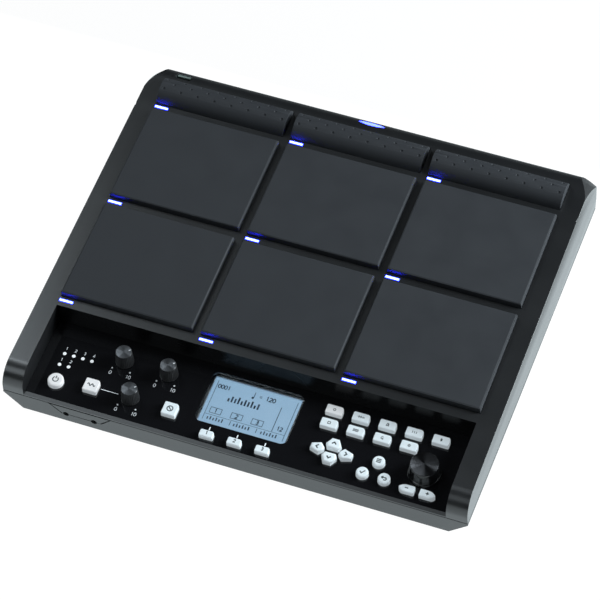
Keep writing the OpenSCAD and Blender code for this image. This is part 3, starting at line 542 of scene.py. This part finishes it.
wave = [(x * 0.5 - 3, 1.0 * math.sin(x * math.tau / 6)) for x in range(13)]
chevron = [(-1.6, -0.7), (0, 0.9), (1.6, -0.7)]
ray_turns = [math.tau * i / 8 for i in range(8)]
rays = [[(r * math.cos(a), r * math.sin(a)) for r in (0.95, 1.3)] for a in ray_turns]
SIGNS = {
    "power_key": [bow((0, 0), 2.1, 125, 415, 20), [(0, 0.6), (0, 3.0)]],
    "effect_key": [wave],
    "all_off_key": [bow((0, 0), 2.2, 45, 405, 24), [(-1.5, 1.5), (1.5, -1.5)]],
    "arrow_up_key": [chevron],
    "arrow_down_key": [chevron],
    "arrow_left_key": [chevron],
    "arrow_right_key": [chevron],
    "menu_key": [[(-1.8, 1.3), (1.8, 1.3)], [(-1.8, 0), (1.8, 0)], [(-1.8, -1.3), (1.8, -1.3)]],
    "enter_key": [[(-1.8, 0.1), (-0.4, -1.3), (1.9, 1.5)]],
    "return_key": [
        [(-1.8, 0.2), (1.0, 0.2)] + bow((1.0, -0.8), 1.0, 90, -90, 8) + [(-0.2, -1.8)],
        [(-0.8, 1.2), (-1.9, 0.2), (-0.8, -0.8)],
    ],
    "minus_key": [[(-1.3, 0), (1.3, 0)]],
    "plus_key": [[(-1.3, 0), (1.3, 0)], [(0, -1.3), (0, 1.3)]],
    "upper_key_1": [bow((0, 0), 0.9, 0, 360, 16)],
    "upper_key_2": [
        [(-2.4 + 0.8 * i, -h), (-2.4 + 0.8 * i, h)]
        for i, h in enumerate((0.4, 0.9, 0.6, 1.0, 0.5, 0.8, 0.4))
    ],
    "upper_key_3": [
        [(-1.0, -1.0), (1.0, -1.0), (0.4, 1.0), (-0.4, 1.0), (-1.0, -1.0)],
        [(0, -0.6), (0.9, 0.9)],
    ],
    "upper_key_4": [[(-1.5 + 1.5 * i, -0.9), (-1.5 + 1.5 * i, 0.9)] for i in range(3)],
    "upper_key_5": [[(-0.7, -0.6), (0.7, 0.6), (0, 1.1), (0, -1.1), (0.7, -0.6), (-0.7, 0.6)]],
    "lower_key_1": [[(-1.0, -0.9), (1.0, -0.9), (1.0, 0.9), (-1.0, 0.9), (-1.0, -0.9)]],
    "lower_key_2": [[(-2.2, y), (2.2, y)] for y in (-0.8, 0, 0.8)],
    "lower_key_3": [bow((0, 0), 1.0, 50, 310, 14), [(0.2, -1.3), (0.8, -0.75), (0.1, -0.3)]],
    "lower_key_4": [bow((0, 0), 0.6, 0, 360, 12)] + rays,
}
# Places as those of the level knobs.
KEY_PLACES = {
    "power_key": (-1, 19.1, -18.9), "effect_key": (-1, 46.5, -15.1), "all_off_key": (0, -56.2, -16),
    "arrow_up_key": (1, -96.6, -5.8), "arrow_down_key": (1, -96.6, -18.4),
    "arrow_left_key": (1, -107.6, -12.1), "arrow_right_key": (1, -85.6, -12.1),
    "menu_key": (1, -60.6, -9.7), "enter_key": (1, -69.05, -22.4), "return_key": (1, -52.2, -22.4),
    "minus_key": (1, -33.9, -25.2), "plus_key": (1, -17.9, -25.2),
}
# Row, side, x of the first key, step, y and number of keys.
KEY_ROWS = (
    ("upper", 1, -106.2, 20.8, 22.1, 5),
    ("lower", 1, -106.2, 20.8, 9.9, 4),
    ("soft", 0, -22.7, 21.95, -27.8, 3),
)
for row, side, first, step, y, count in KEY_ROWS:
    for i in range(count):
        KEY_PLACES[f"{row}_key_{i + 1}"] = (side, first + step * i, y)
SIGN_TURN = {"arrow_down_key": 180, "arrow_left_key": 90, "arrow_right_key": -90}

LEAF_HALF, LEAF_DEEP, LEAF_FOOT = 6.0, 3.1, -6.2
LEAF_BEND, LEAF_CORNER = 7.73, 0.8


def leaf_cap(key, at, side):
    """A leaf-shaped cap: square at the inner end, drawn to a soft point at the outer one."""
    far = math.asin((LEAF_HALF - 0.4) / LEAF_BEND)
    turns = [far * i / 8 for i in range(9)]
    curve = [(-LEAF_BEND * math.sin(a), LEAF_DEEP - LEAF_BEND + LEAF_BEND * math.cos(a)) for a in turns]
    inner = bow((LEAF_HALF - LEAF_CORNER, LEAF_DEEP - LEAF_CORNER), LEAF_CORNER, 0, 90, 5)
    half = inner + curve + [(-LEAF_HALF + 0.1, 0.35)]
    outline = half + [(x, -y) for x, y in reversed(half)]
    bm = bmesh.new()
    low = [bm.verts.new((side * x * MM, y * MM, LEAF_FOOT * MM)) for x, y in outline]
    high = [bm.verts.new((side * x * MM, y * MM, 0)) for x, y in outline]
    bm.faces.new(low)
    top = bm.faces.new(high)
    for i in range(len(outline)):
        j = (i + 1) % len(outline)
        bm.faces.new((low[i], low[j], high[j], high[i]))
    bmesh.ops.recalc_face_normals(bm, faces=bm.faces)
    layer = bm.edges.layers.float.new("bevel_weight_edge")
    for edge in top.edges:
        edge[layer] = 1
    piece = mesh_piece(bm, key + ".cap")
    smooth(piece, 28)
    piece.matrix_world = DECK @ Matrix.Translation(at * MM)
    round_edges(piece, 1.1, 5)
    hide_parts(key)
    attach(piece, key)
    return piece


def draw_sign(bm, key):
    """The key's own sign, or its number on a soft key."""
    if key not in SIGNS:
        digits(bm, key[-1], (0, 0.4), 2.6, 0.65, INK_LOW, INK_HIGH)
        return
    fine = key.startswith(("upper_key_", "lower_key_"))
    for line in SIGNS[key]:
        closed = (Vector(line[0]) - Vector(line[-1])).length < 1e-6
        stroke = 1.0 if line is chevron else 0.5 if fine else 0.8
        ribbon(bm, line[:-1] if closed else line, stroke, INK_LOW, INK_HIGH, closed)


WARM_KEYS = ("upper_key_1", "power_key", "effect_key")
for key, place in KEY_PLACES.items():
    at = spot(*place)
    at.z = KEY_TOP
    if key in ("minus_key", "plus_key"):
        cap = leaf_cap(key, at, 1 if key == "minus_key" else -1)
    else:
        cap = moulded(key, 1.5, lambda p: 1.0 if p.z > KEY_RIM_Z else 0.0, steps=5)
    cap.data.materials.append(warm_key if key in WARM_KEYS else cool_key)
    turn = SIGN_TURN.get(key, 0)
    printed(key + ".sign", lambda bm: draw_sign(bm, key), at, turn, key_ink, key)


# Level knobs: turned plastic with fluted sides and a finely spun top, pushed on
# the shafts of the controls below the panel.

def lathe(name, profile, steps, flute=None):
    """A turned body round z from (radius, height) points in mm.

    flute(angle, radius, height) gives how much of the radius is cut away."""
    bm = bmesh.new()
    rings = []
    for radius, height in profile:
        ring = []
        for i in range(steps):
            angle = math.tau * i / steps
            r = radius - (flute(angle, radius, height) if flute else 0)
            corner = (r * MM * math.cos(angle), r * MM * math.sin(angle), height * MM)
            ring.append(bm.verts.new(corner))
        rings.append(ring)
    for low, high in zip(rings, rings[1:]):
        for i in range(steps):
            j = (i + 1) % steps
            bm.faces.new((low[i], low[j], high[j], high[i]))
    bm.faces.new(rings[0][::-1])
    bm.faces.new(rings[-1])
    piece = mesh_piece(bm, name)
    smooth(piece, 25)
    return piece


def spun_top(name, colour, roughness):
    """Circular turning marks: anisotropic gloss round the axis, with fine rings."""
    material, nodes, links = new_material(name)
    shader = nodes["Principled BSDF"]
    shader.inputs["Base Color"].default_value = (*colour, 1)
    shader.inputs["Metallic"].default_value = 1
    shader.inputs["Anisotropic"].default_value = 0.9
    shader.inputs["Anisotropic Rotation"].default_value = 0.25
    tangent = nodes.new("ShaderNodeTangent")
    tangent.direction_type = "RADIAL"
    tangent.axis = "Z"
    links.new(tangent.outputs["Tangent"], shader.inputs["Tangent"])
    place = nodes.new("ShaderNodeTexCoord")
    rings = nodes.new("ShaderNodeTexWave")
    rings.wave_type = "RINGS"
    rings.rings_direction = "Z"
    rings.inputs["Scale"].default_value = 700
    rings.inputs["Distortion"].default_value = 0.6
    spread = nodes.new("ShaderNodeMapRange")
    spread.inputs["To Min"].default_value = roughness * 0.85
    spread.inputs["To Max"].default_value = roughness * 1.15
    links.new(place.outputs["Object"], rings.inputs["Vector"])
    links.new(rings.outputs["Fac"], spread.inputs["Value"])
    links.new(spread.outputs["Result"], shader.inputs["Roughness"])
    return material


knob_side = moulded_plastic(
    "knob_side", (0.022, 0.022, 0.023), (0.030, 0.030, 0.031), 0.28, 0.36, grains=3200, depth=0.15)
knob_top = spun_top("knob_top", (0.10, 0.103, 0.109), 0.34)
KNOB_H = 13.5
KNOB_BASE, KNOB_RIM = 7.0, 6.15
SHAFT_R, SHAFT_LOW, FOOT_Z = 3.0, -5.5, 0.4
FLUTES, FLUTE_DEEP = 32, 0.28
POINTER_TURN = 36


def knob_flute(angle, radius, height):
    """Fine shallow flutes that run out under the rim."""
    if height < 1.2 or height > KNOB_H - 0.9 or radius < 5:
        return 0
    return FLUTE_DEEP * (0.5 - 0.5 * math.cos(FLUTES * angle))


def draw_pointer(bm):
    """The white line on the knob's top."""
    ribbon(bm, [(KNOB_RIM - 2.2, 0), (KNOB_RIM - 0.6, 0)], 0.55, INK_LOW, INK_HIGH)


taper = (KNOB_BASE - KNOB_RIM - 0.05) / 10
knob_profile = [
    (SHAFT_R, SHAFT_LOW), (SHAFT_R, FOOT_Z), (KNOB_BASE - 0.2, FOOT_Z), (KNOB_BASE, 0.6),
    (KNOB_BASE - 0.02, 1.19), (KNOB_BASE - 0.02, 1.21),
]
knob_profile += [(KNOB_BASE - taper * i, 1.3 + (KNOB_H - 2.3) * i / 10) for i in range(11)]
knob_profile += [(KNOB_RIM + 0.02, KNOB_H - 0.88), (KNOB_RIM, KNOB_H - 0.4), (KNOB_RIM - 0.25, KNOB_H - 0.1)]
cap_profile = [(KNOB_RIM - 0.35, KNOB_H - 0.2), (KNOB_RIM - 0.35, KNOB_H - 0.03), (KNOB_RIM - 0.5, KNOB_H)]
for knob, place in LEVEL_KNOBS.items():
    body = lathe(knob + ".body", knob_profile, 256, knob_flute)
    body.data.materials.append(knob_side)
    cap = lathe(knob + ".cap", cap_profile, 96)
    cap.data.materials.append(knob_top)
    for piece in (body, cap):
        piece.matrix_world = DECK @ Matrix.Translation(spot(*place) * MM)
        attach(piece, knob)
    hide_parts(knob)
    tip = spot(*place) + Vector((0, 0, KNOB_H))
    printed(knob + ".pointer", draw_pointer, tip, POINTER_TURN, white_ink, knob)


# Dial: a larger turned knob in black with a spun top, a chamfered rim and a
# groove over its skirt, on the shaft of the encoder.

dial_black = gloss_black("dial_black", (0.005, 0.005, 0.0055), 0.14)
dial_top = spun_top("dial_top", (0.100, 0.101, 0.107), 0.25)
DIAL_AT = (1, -25.9, -7.4)
DIAL_H = 13.8
DIAL_BASE, DIAL_RIM = 12.7, 10.45
dial_profile = [
    (SHAFT_R, SHAFT_LOW), (SHAFT_R, FOOT_Z), (DIAL_BASE - 0.2, FOOT_Z), (DIAL_BASE, 0.7),
    (12.35, 2.6), (12.1, 3.0),
    (11.6, 3.3), (11.55, 3.7), (11.85, 3.95), (11.7, 4.4),
    (10.95, DIAL_H - 1.0), (10.85, DIAL_H - 0.75), (DIAL_RIM, DIAL_H - 0.1),
]
dial_body = lathe("dial.body", dial_profile, 128)
dial_body.data.materials.append(dial_black)
plate_profile = [(DIAL_RIM - 0.12, DIAL_H - 0.2), (DIAL_RIM - 0.12, DIAL_H - 0.05), (DIAL_RIM - 0.3, DIAL_H)]
dial_cap = lathe("dial.cap", plate_profile, 128)
dial_cap.data.materials.append(dial_top)
for piece in (dial_body, dial_cap):
    piece.matrix_world = DECK @ Matrix.Translation(spot(*DIAL_AT) * MM)
    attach(piece, "dial")
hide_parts("dial")


# Display: a lit liquid-crystal sheet in a steel frame below a clear window,
# showing plain figures, boxes and bars.

def lit_screen(name, low, high):
    """The lit sheet, a little uneven in brightness."""
    material, nodes, links = new_material(name)
    shader = nodes["Principled BSDF"]
    shader.inputs["Base Color"].default_value = (0.02, 0.02, 0.02, 1)
    shader.inputs["Roughness"].default_value = 0.3
    shader.inputs["Emission Strength"].default_value = 1
    place = nodes.new("ShaderNodeTexCoord")
    patch = nodes.new("ShaderNodeTexNoise")
    patch.inputs["Scale"].default_value = 22
    links.new(place.outputs["Object"], patch.inputs["Vector"])
    two_tone(nodes, links, patch, shader.inputs["Emission Color"], low, high)
    return material


def clear_window(name):
    """Clear acrylic with faint smears."""
    material, nodes, links = new_material(name)
    shader = nodes["Principled BSDF"]
    shader.inputs["Base Color"].default_value = (0.97, 0.99, 1, 1)
    shader.inputs["Transmission Weight"].default_value = 1
    shader.inputs["IOR"].default_value = 1.3
    drift(material, "Roughness", 40, 0.0, 0.02)
    return material


screen_light = lit_screen("screen_light", (0.26, 0.42, 0.58), (0.29, 0.45, 0.61))
screen_ink = print_ink("screen_ink", (0.016, 0.036, 0.07), (0.026, 0.05, 0.09))
lcd = moulded("lcd_panel", 0.1, steps=1)
lcd.data.materials.append(screen_light)
window = frame["nodes"]["display_window"]
window.data.materials.clear()
window.data.materials.append(clear_window("window_acrylic"))

LCD_AT = (-1.5, 3.6, PANEL_Z - 5)


def draw_screen(bm):
    """The page: preset number, tempo, a level graph, three boxed figures and the soft key row."""

    def line(points, width=0.5, closed=False):
        ribbon(bm, points, width, INK_LOW, INK_HIGH, closed)

    def boxed(x0, x1, y0, y1):
        line([(x0, y0), (x1, y0), (x1, y1), (x0, y1)], 0.45, True)

    line([(-31.4, -54.6), (-31.4, -18.8)], 0.4)
    line([(32.0, -54.6), (32.0, -18.8)], 0.4)
    digits(bm, "0001", (-25.4, -23.1), 3.2, 0.7, INK_LOW, INK_HIGH)
    disc(bm, (-2.0, -25.3), 0.95, INK_LOW, INK_HIGH)
    line([(-1.3, -25.3), (-1.3, -20.2)])
    line([(2.9, -22.4), (4.7, -22.4)])
    line([(2.9, -23.5), (4.7, -23.5)])
    digits(bm, "120", (11.6, -22.9), 3.4, 0.75, INK_LOW, INK_HIGH)
    for i, h in enumerate((3.0, 5.2, 4.0, 6.0, 3.4, 5.4, 4.4, 5.8, 3.0, 5.0)):
        x = -18.6 + 2.6 * i
        line([(x, -34.2), (x, -34.2 + h)], 1.35)
    line([(21.6, -26.6), (21.6, -48.8)])
    for i, x in enumerate((-24.1, -7.5, 8.9)):
        boxed(x - 4.4, x + 4.4, -47.4, -42.5)
        digits(bm, str(i + 1), (x, -44.95), 3.2, 0.7, INK_LOW, INK_HIGH)
    digits(bm, "12", (26.6, -45.0), 3.2, 0.7, INK_LOW, INK_HIGH)
    line([(-31, -49.2), (31.6, -49.2)], 0.3)
    for x in (-10.2, 10.6):
        line([(x, -50.0), (x, -54.0)])
    for x0 in (-28.0, -7.0, 14.6):
        for i in range(6):
            h = 3.2 if i % 2 else 2.3
            line([(x0 + 2.3 * i, -53.6), (x0 + 2.3 * i, -53.6 + h)], 0.95)


printed("screen_page", draw_screen, LCD_AT, 0, screen_ink, "case")


# Sockets, feet and inner pieces: black moulded sockets behind the front plate
# and the rear wall, plated steel shells, rubber feet, boards, tray and foams.

def plain_metal(name, low, high, rough_low, rough_high):
    """Bare or plated metal with a faint grain."""
    material, nodes, links = new_material(name)
    shader = nodes["Principled BSDF"]
    shader.inputs["Metallic"].default_value = 1
    place = grain(nodes, links, shader, 1500, 0.1)
    cloudy(nodes, links, place, shader, low, high, rough_low, rough_high, 60)
    return material


socket_black = moulded_plastic("socket_black", (0.010, 0.010, 0.010), (0.016, 0.016, 0.016), 0.4, 0.5)
foot_rubber = pad_rubber_finish("foot_rubber", (0.012, 0.012, 0.013), (0.018, 0.018, 0.019))
board_mask = moulded_plastic("board_mask", (0.008, 0.06, 0.03), (0.014, 0.09, 0.045), 0.25, 0.35)
zinc_steel = plain_metal("zinc_steel", (0.50, 0.51, 0.52), (0.62, 0.63, 0.65), 0.25, 0.4)
plain_brass = plain_metal("plain_brass", (0.55, 0.38, 0.12), (0.65, 0.46, 0.17), 0.25, 0.4)
grey_foam = pad_rubber_finish("grey_foam", (0.08, 0.08, 0.085), (0.12, 0.12, 0.125))
FINISHES = {
    "front_sockets": socket_black, "rear_sockets": socket_black, "key_switches": socket_black,
    "control_bases": socket_black, "rubber_feet": foot_rubber, "main_board": board_mask,
    "key_board": board_mask, "display_frame": zinc_steel, "pad_tray": zinc_steel,
    "screws": zinc_steel, "pad_sensors": plain_brass, "stand_inserts": plain_brass, "pad_foams": grey_foam,
}
for node, finish in FINISHES.items():
    piece = frame["nodes"][node]
    piece.data.materials.clear()
    piece.data.materials.append(finish)

dull_steel = plain_metal("dull_steel", (0.16, 0.17, 0.17), (0.22, 0.23, 0.23), 0.35, 0.45)
tongue_pale = moulded_plastic("tongue_pale", (0.13, 0.17, 0.155), (0.17, 0.21, 0.195), 0.4, 0.5)
# The slot's inside takes a near-black green: painted shade in the socket's mouth.
slot_painted_shade = moulded_plastic("slot_painted_shade", (0.004, 0.013, 0.012), (0.007, 0.018, 0.017), 0.4, 0.5)
MEMORY_AT = Vector((-156, 233.0))
MEMORY_FLOOR, MOUTH_Z = -14, -4
shells = moulded("usb_sockets", 0.15, steps=2)
for finish in (dull_steel, tongue_pale, slot_painted_shade):
    shells.data.materials.append(finish)
for face in shells.data.polygons:
    middle = UNDECK @ face.center / MM
    inside = Vector((middle.x, middle.y)) - MEMORY_AT
    on_tongue = abs(inside.x) < 5.6 and 0.9 < inside.y < 2.9
    in_slot = abs(inside.x) < 6.2 and abs(inside.y) < 3.1 and middle.z < MOUTH_Z
    if middle.z > MEMORY_FLOOR and on_tongue:
        face.material_index = 1
    elif middle.z > MEMORY_FLOOR and in_slot:
        face.material_index = 2


# Studio: a pale floor that runs past the picture, soft light from the sides and
# the front, and the camera.

FLOOR_HALF = 6
floor_mesh = bpy.data.meshes.new("floor")
floor_corners = [(x * FLOOR_HALF, y * FLOOR_HALF, 0) for x, y in ((-1, -1), (1, -1), (1, 1), (-1, 1))]
floor_mesh.from_pydata(floor_corners, [], [(0, 1, 2, 3)])
floor = set_out("floor", floor_mesh)

# The camera sees white paper. Reflections see it fall off to dark behind the object, and
# all other light meets plain matt paper.
paper, nodes, links = new_material("white_paper")
nodes.clear()
output = nodes.new("ShaderNodeOutputMaterial")
matt = nodes.new("ShaderNodeBsdfDiffuse")
matt.inputs["Color"].default_value = (0.85, 0.85, 0.85, 1)
white = nodes.new("ShaderNodeEmission")
path = nodes.new("ShaderNodeLightPath")
seen = nodes.new("ShaderNodeMath")
seen.operation = "MAXIMUM"
seen_more = nodes.new("ShaderNodeMath")
seen_more.operation = "MAXIMUM"
share = nodes.new("ShaderNodeMath")
share.operation = "MULTIPLY"
share.inputs[1].default_value = 0.92
place = nodes.new("ShaderNodeTexCoord")
parts = nodes.new("ShaderNodeSeparateXYZ")
behind = nodes.new("ShaderNodeMapRange")
behind.interpolation_type = "SMOOTHSTEP"
behind.inputs["From Min"].default_value = 0.215
behind.inputs["From Max"].default_value = 0.28
behind.inputs["To Min"].default_value = 1.08
behind.inputs["To Max"].default_value = 0.06
lit = nodes.new("ShaderNodeMath")
lit.operation = "MAXIMUM"
tint = nodes.new("ShaderNodeMixRGB")
tint.inputs["Color1"].default_value = (0.87, 0.98, 1.02, 1)
tint.inputs["Color2"].default_value = (1, 1, 1, 1)
links.new(path.outputs["Is Camera Ray"], tint.inputs["Fac"])
links.new(tint.outputs["Color"], white.inputs["Color"])
links.new(place.outputs["Object"], parts.inputs["Vector"])
links.new(parts.outputs["Y"], behind.inputs["Value"])
links.new(path.outputs["Is Camera Ray"], lit.inputs[0])
links.new(behind.outputs["Result"], lit.inputs[1])
links.new(lit.outputs["Value"], white.inputs["Strength"])
mix = nodes.new("ShaderNodeMixShader")
links.new(path.outputs["Is Camera Ray"], seen.inputs[0])
links.new(path.outputs["Is Glossy Ray"], seen.inputs[1])
links.new(seen.outputs["Value"], seen_more.inputs[0])
links.new(path.outputs["Is Transmission Ray"], seen_more.inputs[1])
links.new(seen_more.outputs["Value"], share.inputs[0])
links.new(share.outputs["Value"], mix.inputs["Fac"])
links.new(matt.outputs["BSDF"], mix.inputs[1])
links.new(white.outputs["Emission"], mix.inputs[2])
links.new(mix.outputs["Shader"], output.inputs["Surface"])
floor_mesh.materials.append(paper)

world = bpy.data.worlds.new("studio")
bpy.context.scene.world = world
world.use_nodes = True
sky = world.node_tree.nodes["Background"]
sky.inputs["Color"].default_value = (0.9, 0.95, 1, 1)
sky.inputs["Strength"].default_value = 0.02

LAMP_AWAY = 1.5
COOL_WHITE = (0.88, 0.98, 1.04)


def softbox(name, turn, rise, power, size=0.6):
    """A square soft lamp that faces the object: turn from the right, rise over the floor, in degrees."""
    lamp = bpy.data.lights.new(name, "AREA")
    lamp.shape = "SQUARE"
    lamp.size = size
    lamp.energy = power
    lamp.color = COOL_WHITE
    holder = set_out(name, lamp)
    swing = Matrix.Rotation(math.radians(turn), 3, "Z")
    lift = Matrix.Rotation(math.radians(-rise), 3, "Y")
    aside = swing @ lift @ Vector((1, 0, 0))
    holder.location = LAMP_AWAY * aside
    holder.rotation_euler = (-aside).to_track_quat("-Z", "Y").to_euler()


softbox("right_low", 20, 18, 32.0)
softbox("right_high", 20, 40, 13.7)
softbox("left_low", 152, 49, 2.0, 0.3)
softbox("left_high", 166, 60, 2.6, 0.3)
softbox("right_rear", 55, 35, 0.7, 0.3)
softbox("left_rear", 136, 28, 1.2, 0.3)
softbox("overhead", 180, 78, 1.4)
softbox("front_left", 240, 40, 2.6)
softbox("front", 270, 40, 0.9)

eye = bpy.data.cameras.new("camera")
eye.sensor_width = 36
eye.lens = 186.94
camera = set_out("camera", eye)
right = Vector((0.93933, 0.34298, -0.00554))
down = Vector((0.25968, -0.72155, -0.64181))
ahead = Vector((-0.22412, 0.60143, -0.76683))
turned = Matrix((right, -down, -ahead)).transposed().to_4x4()
camera.matrix_world = Matrix.Translation((0.53208, -1.43966, 1.85425)) @ turned
bpy.context.scene.camera = camera
bpy.context.scene.view_settings.view_transform = "Standard"
